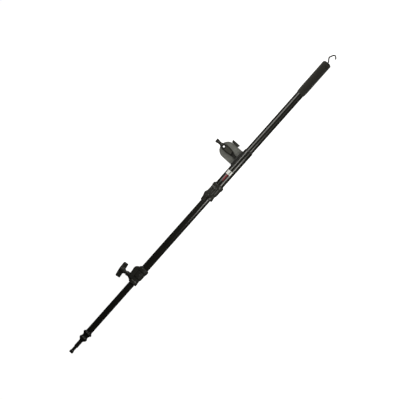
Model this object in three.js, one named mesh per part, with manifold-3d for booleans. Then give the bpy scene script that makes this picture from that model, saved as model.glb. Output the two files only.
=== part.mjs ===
// Telescopic boom pole: two tubes that slide in each other and in a short sleeve, which pivots on a
// stand spigot. Millimetres. X runs along the pole from the front spigot to the grip, Y from the pole
// to the stand spigot, Z through the pivot. The origin is the centre of the stand spigot's end face.
import * as THREE from 'three';
import { mergeVertices } from 'three/addons/utils/BufferGeometryUtils.js';
import Module from 'manifold-3d';

const wasm = await Module();
wasm.setup();

// ---- driving dimensions -------------------------------------------------------------------------
const GAP = 0.3; // clearance between pieces that touch or slide
const ROUND = 32; // sides of a tube
const SMALL_ROUND = 16; // sides of a screw or a hole

const INNER_R = 12.5; // radii of the three tubes
const MAIN_R = 15;
const SLEEVE_R = 17.5;
const WALL = 1.5;

// Stations along the pole, from the front spigot's end face.
const ADAPTER_START = 62;
const INNER_START = 88;
const INNER_END = 1083;
const FRONT_COLLAR = { start: 352.6, length: 75, slide: INNER_R, fixed: MAIN_R, roll: 0 };
const REAR_COLLAR = { start: 786, length: 70, slide: MAIN_R, fixed: SLEEVE_R, roll: 78 };
const SLEEVE_END = 1025;
const GRIP_START = 1321;
const GRIP_END = 1476.4;
const MAIN_END = 1474.4;
const GRIP_R = 18;

const PIVOT = { x: 977, y: 63.8 }; // pivot axis, from the front end face and from the pole's axis
const PLATE_R = 33.2; // half width of the pivot plate and radius of its round end
const PLATE_BACK = -8;
const PLATE_FACE = 6.4;
const PLATE_RIM = 8;
const SADDLE_TOP = 20;
const SADDLE_LENGTH = 69;
const ARM_BACK = PLATE_RIM + 0.4;
const ARM_THICK = 16;
const ARM_Z = ARM_BACK + ARM_THICK / 2; // the arm's middle plane, which holds the stand spigot's axis
const STUD_TIP = 123.4; // height of the stand spigot's end face above the pole's axis
const SPIGOT_R = 7.9; // 16 mm spigot
const WAIST_R = 6.15;
const EYE_HEIGHT = 21; // cross hole above the pivot
const EYE_HOLE_R = 3.75;
const SHAFT_R = 10;
const LOCK_Y = 58.1; // axis of the tilt lock above the pole's axis
const LOCK_KNOB_R = 17.6;

const SCREW_R = 4; // M8 clamp screws
const PAD_R = 5;
const KNOB_LEAN = 7.3; // degrees by which a T handle's screw leans towards the front
const KNOB_FOOT = 22.7; // where the screw's axis meets the tube's axis, behind the collar's front face
const BOSS_HEIGHT = 31.5; // boss top above the sliding tube's surface, along the screw
const HANDLE_HALF = 31; // half length of a T handle
const WIRE_R = 2.4;

// ---- materials ----------------------------------------------------------------------------------
const finish = (color, roughness, metalness) =>
  new THREE.MeshStandardMaterial({ color, roughness, metalness });
const anodised = () => finish(0x18181a, 0.35, 0.7);
const casting = () => finish(0x1b1b1a, 0.55, 0.3);
const blackSteel = () => finish(0x161616, 0.4, 0.6);
const greyCasting = () => finish(0x6d6f6a, 0.6, 0.3);
const blackPlastic = () => finish(0x131313, 0.5, 0);
const nylon = () => finish(0x2b2b2b, 0.6, 0);
const foam = () => finish(0x2b2a26, 0.95, 0);
const zinc = () => finish(0xa8a9a6, 0.35, 0.9);
const brass = () => finish(0xb08d4a, 0.4, 0.9);
const darkLabel = () => finish(0x1a1a1a, 0.4, 0);
const whiteLabel = () => finish(0xd9d9d6, 0.5, 0);

// ---- geometry helpers ---------------------------------------------------------------------------
const rad = THREE.MathUtils.degToRad;
const v2 = (x, y) => new THREE.Vector2(x, y);

// A geometry as a closed solid: shared vertices merged, faces pointing out.
function solidOf(geometry) {
  const bare = new THREE.BufferGeometry();
  bare.setAttribute('position', geometry.getAttribute('position'));
  if (geometry.index) bare.setIndex(geometry.index);
  const merged = mergeVertices(bare, 1e-4);
  const index = [];
  for (let i = 0; i < merged.index.count; i += 3) {
    const [a, b, c] = [0, 1, 2].map((k) => merged.index.getX(i + k));
    if (a !== b && b !== c && c !== a) index.push(a, b, c);
  }
  const build = (triVerts) => new wasm.Manifold(new wasm.Mesh({
    numProp: 3,
    vertProperties: new Float32Array(merged.attributes.position.array),
    triVerts: new Uint32Array(triVerts),
  }));
  const made = build(index);
  return made.volume() > 0 ? made : build(index.slice().reverse());
}

function geometryOf(solid) {
  const mesh = solid.getMesh();
  const geometry = new THREE.BufferGeometry();
  geometry.setAttribute('position', new THREE.BufferAttribute(new Float32Array(mesh.vertProperties), 3));
  geometry.setIndex(new THREE.BufferAttribute(new Uint32Array(mesh.triVerts), 1));
  return geometry;
}

function join(first, ...others) {
  return geometryOf(others.reduce((sum, g) => sum.add(solidOf(g)), solidOf(first)));
}

function cut(first, ...tools) {
  return geometryOf(tools.reduce((rest, g) => rest.subtract(solidOf(g)), solidOf(first)));
}

function common(first, second) {
  return geometryOf(solidOf(first).intersect(solidOf(second)));
}

// A profile of [station, radius] turned about the X axis. It closes on itself or ends on the axis.
function turned(profile, sides = ROUND) {
  const points = profile.map(([x, r]) => v2(r, x));
  return geometryOf(solidOf(new THREE.LatheGeometry(points, sides))).rotateZ(rad(-90));
}

function ring(start, end, outer, inner, sides = ROUND) {
  return turned([[start, inner], [start, outer], [end, outer], [end, inner], [start, inner]], sides);
}

function rod(start, end, radius, sides = SMALL_ROUND) {
  return turned([[start, 0], [start, radius], [end, radius], [end, 0]], sides);
}

// Hexagon nut; the radius is across its corners.
function nut(start, end, radius, bore) {
  return cut(rod(start, end, radius, 6), rod(start - 1, end + 1, bore));
}

// The same shapes about the Y and Z axes.
const alongY = (geometry) => geometry.rotateZ(rad(90));
const alongZ = (geometry) => geometry.rotateY(rad(-90));

function slab(shape, low, high, bevel = 0) {
  const geometry = new THREE.ExtrudeGeometry(shape, {
    depth: high - low - 2 * bevel,
    bevelEnabled: bevel > 0,
    bevelThickness: bevel,
    bevelSize: bevel,
    bevelOffset: -bevel,
    bevelSegments: 1,
    curveSegments: 10,
  });
  return geometry.translate(0, 0, low + bevel);
}

const polygon = (points) => new THREE.Shape(points.map(([x, y]) => v2(x, y)));

function piece(name, geometry, material) {
  const mesh = new THREE.Mesh(geometry, material);
  mesh.name = name;
  return mesh;
}

function group(...children) {
  const made = new THREE.Group();
  if (children.length) made.add(...children);
  return made;
}

// ---- lock collar with its T handle --------------------------------------------------------------
// Local frame: X from the collar's front face, Y towards the T handle, origin on the tube's axis.

// Turned body: front flange, neck, barrel and rear flange, in fractions of its length.
function collarBody({ length, slide, fixed }) {
  const at = (fraction) => fraction * length;
  const outline = [
    [0, fixed + 0.2], [at(0.03), fixed + 2.9], [at(0.14), fixed + 3], [at(0.2), fixed + 1.4],
    [at(0.36), fixed + 1.4], [at(0.41), fixed + 3.5], [at(0.74), fixed + 3.6], [at(0.81), fixed + 5.5],
    [at(0.94), fixed + 5.5], [length, fixed + 1.8],
  ];
  return turned([[0, slide], ...outline, [length, slide], [0, slide]]);
}

// Side outline of the domed housing behind the boss.
function domeShape({ length, slide }) {
  const top = slide + 18.8;
  const shape = new THREE.Shape();
  shape.moveTo(KNOB_FOOT - 14, 0);
  shape.lineTo(KNOB_FOOT - 14, top - 6);
  shape.lineTo(0.36 * length, top);
  shape.quadraticCurveTo(0.55 * length, top + 0.6, 0.68 * length, top + 3);
  shape.quadraticCurveTo(0.8 * length, top + 3, 0.92 * length, slide + 8);
  shape.lineTo(0.92 * length, 0);
  return shape;
}

// Runs a shape that was made about the X axis along the leaning screw axis instead.
const alongScrew = (geometry) => alongY(geometry).rotateZ(rad(KNOB_LEAN)).translate(KNOB_FOOT, 0, 0);

function collarCasting(collar) {
  const { length, slide, fixed } = collar;
  const boss = alongScrew(rod(0, slide + BOSS_HEIGHT, 9.3));
  const web = polygon([[1, 0], [1, fixed - 1.5], [9.5, slide + 16], [22, slide + 16], [22, 0]]);
  const dome = slab(domeShape(collar), -11.5, 11.5, 2.5);
  const split = 0.42 * length;
  return cut(
    join(collarBody(collar), boss, slab(web, -7, 7), dome),
    rod(-1, length + 1, slide + 2.4, ROUND),
    rod(split, length + 1, fixed + GAP, ROUND),
    alongScrew(rod(0, slide + 10.5, PAD_R + GAP)),
    alongScrew(rod(0, slide + BOSS_HEIGHT + 1, SCREW_R + GAP)),
    alongZ(rod(-fixed - 8, fixed + 8, 2.8)).translate(0.6 * length, 0, 0),
  );
}

function collarBush({ length, slide }) {
  return cut(ring(1, 0.4 * length, slide + 2.1, slide + GAP), alongScrew(rod(0, slide + 4, PAD_R + GAP)));
}

// Brass pad on the screw's end, hollowed to the tube that it presses on.
function clampPad({ slide }) {
  return cut(alongScrew(rod(slide - 2, slide + 8, PAD_R)), rod(-10, 60, slide + GAP, ROUND));
}

function clampScrew({ slide }) {
  return alongScrew(rod(slide + 8 + GAP, slide + BOSS_HEIGHT + 14, SCREW_R));
}

// T handle: a turned hub with a conical underside, and two wings that taper to their ends.
function tHandle({ slide }) {
  const base = slide + BOSS_HEIGHT + GAP;
  const half = HANDLE_HALF;
  const hub = turned([
    [0, 0], [0, 7.2], [5.5, 7.2], [10.5, 10.9], [28.5, 10.4], [31, 8.4], [31.8, 0],
  ], SMALL_ROUND);
  const side = polygon([
    [-half, 11], [-half - 0.5, 27.6], [2.5 - half, 29.6], [0, 31.4], [half - 2.5, 29.6],
    [half + 0.5, 27.6], [half, 11], [half - 2, 10.4], [8, 9.6], [-8, 9.6], [2 - half, 10.4],
  ]);
  const plan = polygon([
    [-half - 1, -3.4], [-half - 1, 3.4], [3 - half, 4.4], [-14, 5.4], [-8, 7.4], [8, 7.4], [14, 5.4],
    [half - 3, 4.4], [half + 1, 3.4], [half + 1, -3.4], [half - 3, -4.4], [14, -5.4], [8, -7.4],
    [-8, -7.4], [-14, -5.4], [3 - half, -4.4],
  ]);
  const wings = common(slab(side, -12, 12), slab(plan, -40, 40).rotateX(rad(90)));
  const handle = join(alongY(hub), wings).translate(0, base, 0);
  const bore = alongY(rod(0, slide + BOSS_HEIGHT + 14 + GAP, SCREW_R + GAP));
  return cut(handle, bore).rotateZ(rad(KNOB_LEAN)).translate(KNOB_FOOT, 0, 0);
}

// Grub screw with a hexagon socket, pointing along +Z from the fixed tube's surface.
function grubScrew({ length, fixed }) {
  const screw = cut(rod(fixed + GAP, fixed + 3, 2.5), rod(fixed + 1.4, fixed + 4, 1.3, 6));
  return alongZ(screw).translate(0.6 * length, 0, 0);
}

function lockCollar(prefix, collar) {
  const made = group(
    piece(`${prefix}_collar`, collarCasting(collar), casting()),
    piece(`${prefix}_collar_bush`, collarBush(collar), nylon()),
    piece(`${prefix}_clamp_pad`, clampPad(collar), brass()),
    piece(`${prefix}_clamp_screw`, clampScrew(collar), zinc()),
    piece(`${prefix}_t_handle`, tHandle(collar), blackPlastic()),
    piece(`${prefix}_grub_screw_front`, grubScrew(collar), zinc()),
    piece(`${prefix}_grub_screw_back`, grubScrew(collar).rotateX(rad(180)), zinc()),
  );
  made.position.x = collar.start;
  made.rotation.x = rad(collar.roll);
  return made;
}

// ---- inner pole: tube, stop bush, adapter, ring and front spigot --------------------------------
const PIN_STATION = 93;
const crossHole = (radius, reach) => alongZ(rod(-reach, reach, radius)).translate(PIN_STATION, 0, 0);

function frontSpigot() {
  const end = 100;
  const body = turned([
    [0, 0], [0, SPIGOT_R - 1], [1, SPIGOT_R], [9.6, SPIGOT_R], [12.6, WAIST_R], [28.4, WAIST_R],
    [31.4, SPIGOT_R], [ADAPTER_START - GAP, SPIGOT_R], [ADAPTER_START - GAP, 6], [end, 6], [end, 0],
  ], 24);
  return cut(body, crossHole(2.3, 9));
}

function frontAdapter() {
  const insert = INNER_R - WALL - GAP;
  const body = turned([
    [ADAPTER_START, 6.3], [ADAPTER_START, 8.4], [65, 11.5], [67, 13.4], [70, 15.3], [73, 16], [76, 15.5],
    [78.5, 14.1], [80.8, 13], [83.4, 12.5], [INNER_START - GAP, 12.5], [INNER_START - GAP, insert],
    [128, insert], [128, 6.3], [ADAPTER_START, 6.3],
  ]);
  return cut(body, crossHole(2.3, 14));
}

function frontRing() {
  const bore = INNER_R + GAP;
  return turned([
    [INNER_START, bore], [INNER_START + 0.6, 13.2], [91.5, 14.4], [93.6, 16.5], [95.8, 17.8], [98, 18.1],
    [100.2, 17.4], [102.4, 15.6], [104.4, 13.8], [106.5, 13.1], [106.5, bore], [INNER_START, bore],
  ]);
}

function innerTube() {
  return cut(ring(INNER_START, INNER_END, INNER_R, INNER_R - WALL), crossHole(2.3, 14));
}

function stopBush() {
  const outer = MAIN_R - WALL - GAP;
  const start = INNER_END - 38;
  const end = INNER_END + 3;
  return turned([
    [start, INNER_R + GAP], [start, outer], [end, outer], [end, 9.5], [INNER_END + GAP, 9.5],
    [INNER_END + GAP, INNER_R + GAP], [start, INNER_R + GAP],
  ]);
}

function innerPole() {
  return group(
    piece('front_spigot', frontSpigot(), blackSteel()),
    piece('front_adapter', frontAdapter(), casting()),
    piece('front_ring', frontRing(), casting()),
    piece('spigot_cross_pin', crossHole(2, 12.3), zinc()),
    piece('inner_tube', innerTube(), anodised()),
    piece('stop_bush', stopBush(), nylon()),
  );
}

// ---- main pole: tube, grip and end plug ---------------------------------------------------------
const PLUG_END = MAIN_END + 5.5;
const HOOK_BORE_R = WIRE_R + 0.5;

function grip() {
  const bore = MAIN_R + GAP;
  return turned([
    [GRIP_START, bore], [GRIP_START + 0.6, bore + 0.6], [GRIP_START + 9, GRIP_R - 0.6],
    [GRIP_START + 16, GRIP_R], [GRIP_END - 2, GRIP_R], [GRIP_END, GRIP_R - 2], [GRIP_END, bore],
    [GRIP_START, bore],
  ]);
}

function endPlug() {
  const insert = MAIN_R - WALL - GAP;
  return turned([
    [MAIN_END - 22, HOOK_BORE_R], [MAIN_END - 22, insert], [MAIN_END + GAP, insert],
    [MAIN_END + GAP, MAIN_R - 0.4], [MAIN_END + 3, MAIN_R - 0.4], [PLUG_END, MAIN_R - 4],
    [PLUG_END, HOOK_BORE_R], [MAIN_END - 22, HOOK_BORE_R],
  ]);
}

function mainPole() {
  const tubeStart = FRONT_COLLAR.start + 0.42 * FRONT_COLLAR.length + GAP;
  const washer = ring(MAIN_END - 22 - 1.9, MAIN_END - 22 - GAP, 7, HOOK_BORE_R, SMALL_ROUND);
  return group(
    piece('main_tube', ring(tubeStart, MAIN_END, MAIN_R, MAIN_R - WALL), anodised()),
    lockCollar('extension', FRONT_COLLAR),
    piece('foam_grip', grip(), foam()),
    piece('end_plug', endPlug(), blackPlastic()),
    piece('hook_washer', washer, zinc()),
  );
}

// ---- hook for a counterweight -------------------------------------------------------------------
function hookWire() {
  const at = (x, y) => new THREE.Vector3(PLUG_END + x, y, 0);
  const path = new THREE.CatmullRomCurve3([
    at(-35.5, 0), at(-12, 0), at(0, 0), at(4, 0.6), at(8.5, 3.6), at(13, 7.1), at(17, 9.5), at(20.6, 9.9),
    at(25, 8.4), at(31, 5.7), at(36, 2.6), at(38.6, -1.6), at(37.4, -5.9), at(34, -9.9), at(29.5, -12.9),
  ]);
  const section = new THREE.Shape().absarc(0, 0, WIRE_R, 0, 2 * Math.PI);
  return new THREE.ExtrudeGeometry(section, {
    steps: 40, curveSegments: 4, bevelEnabled: false, extrudePath: path,
  });
}

function hook() {
  const nutEnd = MAIN_END - 22 - 1.9 - GAP;
  return group(
    piece('counterweight_hook', hookWire(), zinc()),
    piece('hook_nut', nut(nutEnd - 4, nutEnd, 5.6, HOOK_BORE_R), zinc()),
  );
}

// ---- pivot bracket: sleeve, saddle and pivot plate ----------------------------------------------
const PLATE_SCREWS = [-17, 17]; // stations of the plate's fixing screws, from the pivot
const PLATE_FOOT = SADDLE_TOP + GAP;

const fixingScrewHole = (x) => alongY(turned([
  [SLEEVE_R - WALL - 1, 0], [SLEEVE_R - WALL - 1, 6.6], [SLEEVE_R + 1.6, 3 + GAP], [36, 3 + GAP], [36, 0],
], SMALL_ROUND)).translate(PIVOT.x + x, 0, 0);

const fixingScrew = (x) => alongY(turned([
  [SLEEVE_R - WALL + 0.2, 0], [SLEEVE_R - WALL + 0.2, 5.2], [SLEEVE_R + 1.6, 3], [35, 3], [35, 0],
], SMALL_ROUND)).translate(PIVOT.x + x, 0, 0);

function sleeveTube() {
  const start = REAR_COLLAR.start + 0.42 * REAR_COLLAR.length + GAP;
  const tube = ring(start, SLEEVE_END, SLEEVE_R, SLEEVE_R - WALL);
  return cut(tube, ...PLATE_SCREWS.map(fixingScrewHole));
}

function sleeveBush() {
  const outer = SLEEVE_R - WALL - GAP;
  return turned([
    [SLEEVE_END - 22, MAIN_R + GAP], [SLEEVE_END - 22, outer], [SLEEVE_END + GAP, outer],
    [SLEEVE_END + GAP, outer + 0.9], [SLEEVE_END + 3.5, outer + 0.5], [SLEEVE_END + 3.5, MAIN_R + GAP],
    [SLEEVE_END - 22, MAIN_R + GAP],
  ]);
}

// A label is a thin band of the sleeve's surface, between two angles from +Y towards +Z.
function label(start, end, from, to) {
  const inner = SLEEVE_R + 0.25;
  const outer = inner + 0.3;
  const step = 360 / ROUND;
  const angles = [];
  for (let a = from; a <= to; a += step) angles.push(rad(a));
  const outline = [
    ...angles.map((a) => [-outer * Math.sin(a), outer * Math.cos(a)]),
    ...angles.reverse().map((a) => [-inner * Math.sin(a), inner * Math.cos(a)]),
  ];
  return slab(polygon(outline), 0, end - start).rotateY(rad(90)).translate(start, 0, 0);
}

// Saddle round the top of the sleeve, with a post whose hollow top follows the arm's round foot.
function saddle() {
  const half = 17.9;
  const skirt = 10.7;
  const section = polygon([
    [-half, skirt], [-half, 16.2], [-half + 2.4, SADDLE_TOP], [half - 2.4, SADDLE_TOP], [half, 16.2],
    [half, skirt], [10, skirt], [10, 0], [-10, 0], [-10, skirt],
  ]);
  const long = slab(section, 0, SADDLE_LENGTH).rotateY(rad(90));
  const post = slab(polygon([
    [-7, SADDLE_TOP - 2], [-7, 32], [-9.6, 44], [-9.6, 50], [9.2, 50], [9.2, 44], [4.6, 38], [2.9, 31],
    [2.9, SADDLE_TOP - 2],
  ]), PLATE_RIM + GAP, half - 2.4);
  const sweep = alongZ(rod(0, 40, ARM_FOOT_R + 0.5, ROUND)).translate(PIVOT.x, PIVOT.y, 0);
  return cut(
    join(long.translate(PIVOT.x - SADDLE_LENGTH / 2, 0, 0), post.translate(PIVOT.x, 0, 0)),
    rod(PIVOT.x - 60, PIVOT.x + 60, SLEEVE_R + GAP, ROUND),
    sweep,
    ...PLATE_SCREWS.map(fixingScrewHole),
  );
}

function plateShape(inset) {
  const half = PLATE_R - inset;
  const shape = new THREE.Shape();
  shape.moveTo(PIVOT.x - half, PLATE_FOOT + inset);
  shape.lineTo(PIVOT.x - half, PIVOT.y);
  shape.absarc(PIVOT.x, PIVOT.y, half, Math.PI, 0, true);
  shape.lineTo(PIVOT.x + half, PLATE_FOOT + inset);
  return shape;
}

// Grey D-shaped plate with a raised rim, the shaft's bore and the lock screw's cross bore.
function pivotPlate() {
  const eyeHole = alongZ(rod(-30, 30, EYE_HOLE_R + 0.25)).translate(PIVOT.x, PIVOT.y + EYE_HEIGHT, 0);
  const bore = alongZ(rod(-30, 30, SHAFT_R + GAP, ROUND)).translate(PIVOT.x, PIVOT.y, 0);
  return cut(
    slab(plateShape(0), PLATE_BACK, PLATE_RIM, 0.8),
    slab(plateShape(4), PLATE_FACE, PLATE_RIM + 2),
    bore,
    eyeHole,
    rod(PIVOT.x, PIVOT.x + 50, PAD_R + GAP).translate(0, LOCK_Y, 0),
    ...PLATE_SCREWS.map(fixingScrewHole),
  );
}

function tiltLock() {
  const padEnd = PIVOT.x + SHAFT_R + 5.6;
  const knobStart = PIVOT.x + PLATE_R + GAP;
  const shaftSpace = alongZ(rod(-20, 20, SHAFT_R + GAP, ROUND)).translate(PIVOT.x, PIVOT.y, 0);
  const pad = cut(rod(PIVOT.x + 6, padEnd, PAD_R).translate(0, LOCK_Y, 0), shaftSpace);
  const screw = rod(padEnd + GAP, knobStart + 7, SCREW_R);
  const knob = cut(turned([
    [knobStart, 0], [knobStart, 13.6], [knobStart + 1.2, 14.6], [knobStart + 5.5, 16.4],
    [knobStart + 6.5, LOCK_KNOB_R], [knobStart + 9.2, LOCK_KNOB_R], [knobStart + 10, LOCK_KNOB_R - 1],
    [knobStart + 10, 0],
  ], 24), rod(knobStart - 1, knobStart + 7.3, SCREW_R + GAP));
  return group(
    piece('tilt_brake_pad', pad, brass()),
    piece('tilt_lock_screw', screw.translate(0, LOCK_Y, 0), zinc()),
    piece('tilt_lock_knob', knob.translate(0, LOCK_Y, 0), blackPlastic()),
  );
}

function pivotBracket() {
  return group(
    piece('sleeve_tube', sleeveTube(), anodised()),
    piece('sleeve_rear_bush', sleeveBush(), nylon()),
    lockCollar('sleeve', REAR_COLLAR),
    piece('dark_label', label(872, 906.6, 40, 114), darkLabel()),
    piece('white_label', label(907.2, 924, 40, 114), whiteLabel()),
    piece('pivot_saddle', saddle(), casting()),
    piece('pivot_plate', pivotPlate(), greyCasting()),
    piece('plate_screw_front', fixingScrew(PLATE_SCREWS[0]), zinc()),
    piece('plate_screw_rear', fixingScrew(PLATE_SCREWS[1]), zinc()),
    tiltLock(),
  );
}

// ---- stand spigot arm and its pivot -------------------------------------------------------------
const ARM_FOOT_R = 19; // the arm's round foot, about the pivot
const TENON_R = 6;

function spigotArm() {
  const front = ARM_BACK + ARM_THICK;
  const foot = [-31, -23, -15, -8, 0, 8, 15, 23, 31].map(rad);
  const outline = [
    ...foot.map((a) => [ARM_FOOT_R * Math.sin(a), -ARM_FOOT_R * Math.cos(a)]),
    [11.7, 0], [12.3, 12], [10.5, 22], [-10.5, 22], [-12.3, 12], [-11.7, 0],
  ];
  const level = (z, across = 1, along = 1) => outline.map(([x, y]) => [x * across, y * along, z]);
  // Straight sides, then a chamfer to a front face that is narrower and shorter.
  const faced = geometryOf(wasm.Manifold.hull([
    ...level(ARM_BACK), ...level(front - 3.4), ...level(front, 0.72, 0.83),
  ]));
  const eye = alongZ(turned([
    [ARM_BACK, 0], [ARM_BACK, 11.8], [front - 3.2, 11.8], [front - 1.8, 10.4], [front - 1.8, 0],
  ], 24)).translate(0, EYE_HEIGHT, 0);
  const reach = STUD_TIP - PIVOT.y;
  const stud = alongY(turned([
    [EYE_HEIGHT, 0], [EYE_HEIGHT, SPIGOT_R], [34, SPIGOT_R], [36.5, WAIST_R], [reach - 12.5, WAIST_R],
    [reach - 9.5, SPIGOT_R], [reach - 1, SPIGOT_R], [reach, SPIGOT_R - 1], [reach, 0],
  ], 24)).translate(0, 0, ARM_Z);
  const mouth = alongZ(turned([
    [front - 6.2, 0], [front - 6.2, EYE_HOLE_R], [front + 1, 9.4], [front + 1, 0],
  ], 24));
  return cut(
    join(faced, eye, stud),
    mouth.translate(0, EYE_HEIGHT, 0),
    alongZ(rod(0, 40, EYE_HOLE_R)).translate(0, EYE_HEIGHT, 0),
    alongZ(rod(0, ARM_BACK + 10.3, TENON_R + GAP)),
  );
}

// Pivot shaft: a tenon in the arm, a journal in the plate and a threaded end behind it.
function pivotShaft() {
  return alongZ(turned([
    [PLATE_BACK - 11.5, 0], [PLATE_BACK - 11.5, 5], [PLATE_BACK - 10.5, TENON_R],
    [PLATE_BACK + 0.4, TENON_R], [PLATE_BACK + 0.4, SHAFT_R], [ARM_BACK - GAP, SHAFT_R],
    [ARM_BACK - GAP, TENON_R],
    [ARM_BACK + 10, TENON_R], [ARM_BACK + 10, 0],
  ]));
}

function standArm() {
  const made = group(
    piece('stand_spigot_arm', spigotArm(), casting()),
    piece('pivot_shaft', pivotShaft(), zinc()),
    piece('friction_washer', alongZ(ring(PLATE_FACE + GAP, ARM_BACK - GAP, 12.3, SHAFT_R + GAP)), nylon()),
    piece('pivot_washer', alongZ(ring(PLATE_BACK - 2.3, PLATE_BACK - GAP, 14, TENON_R + GAP, 24)), zinc()),
    piece('pivot_nut', alongZ(nut(PLATE_BACK - 10.3, PLATE_BACK - 2.6, 10.9, TENON_R + GAP)), zinc()),
  );
  made.position.set(PIVOT.x, PIVOT.y, 0);
  return made;
}

// ---- the whole boom, moved so that the stand spigot's end face is the origin --------------------
const boom = group(standArm(), pivotBracket(), mainPole(), innerPole(), hook());
boom.position.set(-PIVOT.x, -STUD_TIP, -ARM_Z);

export default group(boom);
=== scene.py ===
import math

import bmesh
import bpy
from mathutils import Matrix, Vector, noise


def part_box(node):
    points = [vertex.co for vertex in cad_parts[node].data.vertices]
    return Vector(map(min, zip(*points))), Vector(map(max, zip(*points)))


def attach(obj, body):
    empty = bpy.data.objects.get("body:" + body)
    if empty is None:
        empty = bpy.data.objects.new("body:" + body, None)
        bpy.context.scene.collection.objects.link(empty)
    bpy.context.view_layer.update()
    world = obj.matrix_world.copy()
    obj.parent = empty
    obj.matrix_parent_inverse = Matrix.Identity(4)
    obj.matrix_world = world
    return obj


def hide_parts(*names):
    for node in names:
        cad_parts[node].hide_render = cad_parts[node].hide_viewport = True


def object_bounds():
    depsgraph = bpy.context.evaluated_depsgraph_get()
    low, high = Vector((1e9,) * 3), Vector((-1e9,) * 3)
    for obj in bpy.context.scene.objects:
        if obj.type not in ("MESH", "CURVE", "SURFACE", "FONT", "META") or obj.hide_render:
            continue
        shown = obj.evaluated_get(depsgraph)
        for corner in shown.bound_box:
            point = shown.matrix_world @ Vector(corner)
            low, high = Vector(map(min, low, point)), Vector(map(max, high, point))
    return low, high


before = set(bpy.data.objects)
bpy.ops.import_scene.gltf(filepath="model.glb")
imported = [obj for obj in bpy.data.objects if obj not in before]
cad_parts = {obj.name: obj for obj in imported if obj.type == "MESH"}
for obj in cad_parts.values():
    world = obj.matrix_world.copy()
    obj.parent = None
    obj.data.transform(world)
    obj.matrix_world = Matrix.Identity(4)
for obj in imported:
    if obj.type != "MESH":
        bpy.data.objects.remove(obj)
CAD_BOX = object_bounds()

# The pole frame is in millimetres: X from the front spigot's end face along the pole's axis, Y to the
# stand spigot, Z out of the face with the spigot arm. Every piece is made in it, then put in the frame.
MM = 0.001
_tube_low, _tube_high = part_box("main_tube")
POLE = Matrix.Translation((
    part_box("front_spigot")[0].x, (_tube_low.y + _tube_high.y) / 2, (_tube_low.z + _tube_high.z) / 2,
)) @ Matrix.Scale(MM, 4)
TO_POLE = POLE.inverted()


def corner(node, high):
    """A corner of a CAD node's box, in the pole frame."""
    return TO_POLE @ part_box(node)[1 if high else 0]


def start_of(node):
    return corner(node, False).x


def end_of(node):
    return corner(node, True).x


def radius_of(node):
    low, high = corner(node, False), corner(node, True)
    return (high.z - low.z) / 2


# ---- dimensions ------------------------------------------------------------------------------
INNER_R = radius_of("inner_tube")
MAIN_R = radius_of("main_tube")
SLEEVE_R = radius_of("sleeve_tube")
WALL = 1.5
GAP = 0.3
LEAN = 7.3  # degrees by which a T handle leans to the front
KNOB_FOOT = 22.7  # where the T handle's axis meets the tube's, behind the collar's front face
BOSS_HEIGHT = 31.5
HANDLE_HALF = 31.0
SCREW_R = 4.0
WIRE_R = 2.75  # CAD has 2.4, which renders thinner than the photo's wire
PIN_X = 93  # station of the cross pin through spigot, adapter and inner tube
FRONT_COLLAR = {
    "prefix": "extension", "start": start_of("extension_collar"), "slide": INNER_R, "fixed": MAIN_R,
    "length": end_of("extension_collar") - start_of("extension_collar"), "roll": 0,
    "body": "main_pole", "knob": "extension_knob", "pad": "extension_pad",
}
REAR_COLLAR = {
    "prefix": "sleeve", "start": start_of("sleeve_collar"), "slide": MAIN_R, "fixed": SLEEVE_R,
    "length": end_of("sleeve_collar") - start_of("sleeve_collar"), "roll": 78,
    "body": "pivot_bracket", "knob": "sleeve_knob", "pad": "sleeve_pad",
}
_plate_low, _plate_high = corner("pivot_plate", False), corner("pivot_plate", True)
PLATE_R = (_plate_high.x - _plate_low.x) / 2
PIVOT_X = (_plate_high.x + _plate_low.x) / 2
PIVOT_Y = _plate_high.y - PLATE_R
PLATE_FOOT = _plate_low.y
PLATE_BACK = _plate_low.z
PLATE_RIM = _plate_high.z
STUD_TIP = corner("stand_spigot_arm", True).y
ARM_BACK = corner("stand_spigot_arm", False).z
ARM_FRONT = corner("stand_spigot_arm", True).z
ARM_Z = (ARM_BACK + ARM_FRONT) / 2
SPIGOT_R = 7.9
WAIST_R = 6.15
EYE_HEIGHT = 21.0
LOCK_Y = (corner("tilt_lock_knob", False).y + corner("tilt_lock_knob", True).y) / 2
PLATE_SCREWS = (-17.0, 17.0)

ABOUT_Y = Matrix.Rotation(math.radians(90), 4, "Z")  # takes a piece made about X to the Y axis
ABOUT_Z = Matrix.Rotation(math.radians(-90), 4, "Y")  # and to the Z axis
ALONG_SCREW = Matrix.Translation((KNOB_FOOT, 0, 0)) @ Matrix.Rotation(math.radians(90 + LEAN), 4, "Z")


# ---- mesh helpers ----------------------------------------------------------------------------
def turn(angle, axis):
    return Matrix.Rotation(math.radians(angle), 4, axis)


def shift(x, y=0.0, z=0.0):
    return Matrix.Translation((x, y, z))


def rounded(points, closed=False, steps=5):
    """A line of points, each (a, b) or (a, b, radius), with its corners turned into arcs."""
    flat = [Vector(p[:2]) for p in points]
    radii = [p[2] if len(p) > 2 else 0.0 for p in points]
    out = []
    for i, p in enumerate(flat):
        if radii[i] <= 0 or (not closed and i in (0, len(flat) - 1)):
            out.append(p)
            continue
        back, ahead = flat[i - 1] - p, flat[(i + 1) % len(flat)] - p
        half = back.angle(ahead) / 2
        reach = min(radii[i] / max(math.tan(half), 1e-3), 0.48 * back.length, 0.48 * ahead.length)
        a, b = p + back.normalized() * reach, p + ahead.normalized() * reach
        for k in range(steps + 1):
            t = k / steps
            out.append(a * (1 - t) ** 2 + p * (2 * t * (1 - t)) + b * t * t)
    return [(p.x, p.y) for p in out]


def skin(bm, a, b):
    """Faces between two rings of vertices; a ring of one vertex is a tip."""
    n = max(len(a), len(b))
    for i in range(n):
        j = (i + 1) % n
        quad = [a[i % len(a)], a[j % len(a)], b[j % len(b)], b[i % len(b)]]
        face = [v for k, v in enumerate(quad) if v not in quad[:k]]
        if len(face) > 2:
            bm.faces.new(face)


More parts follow.
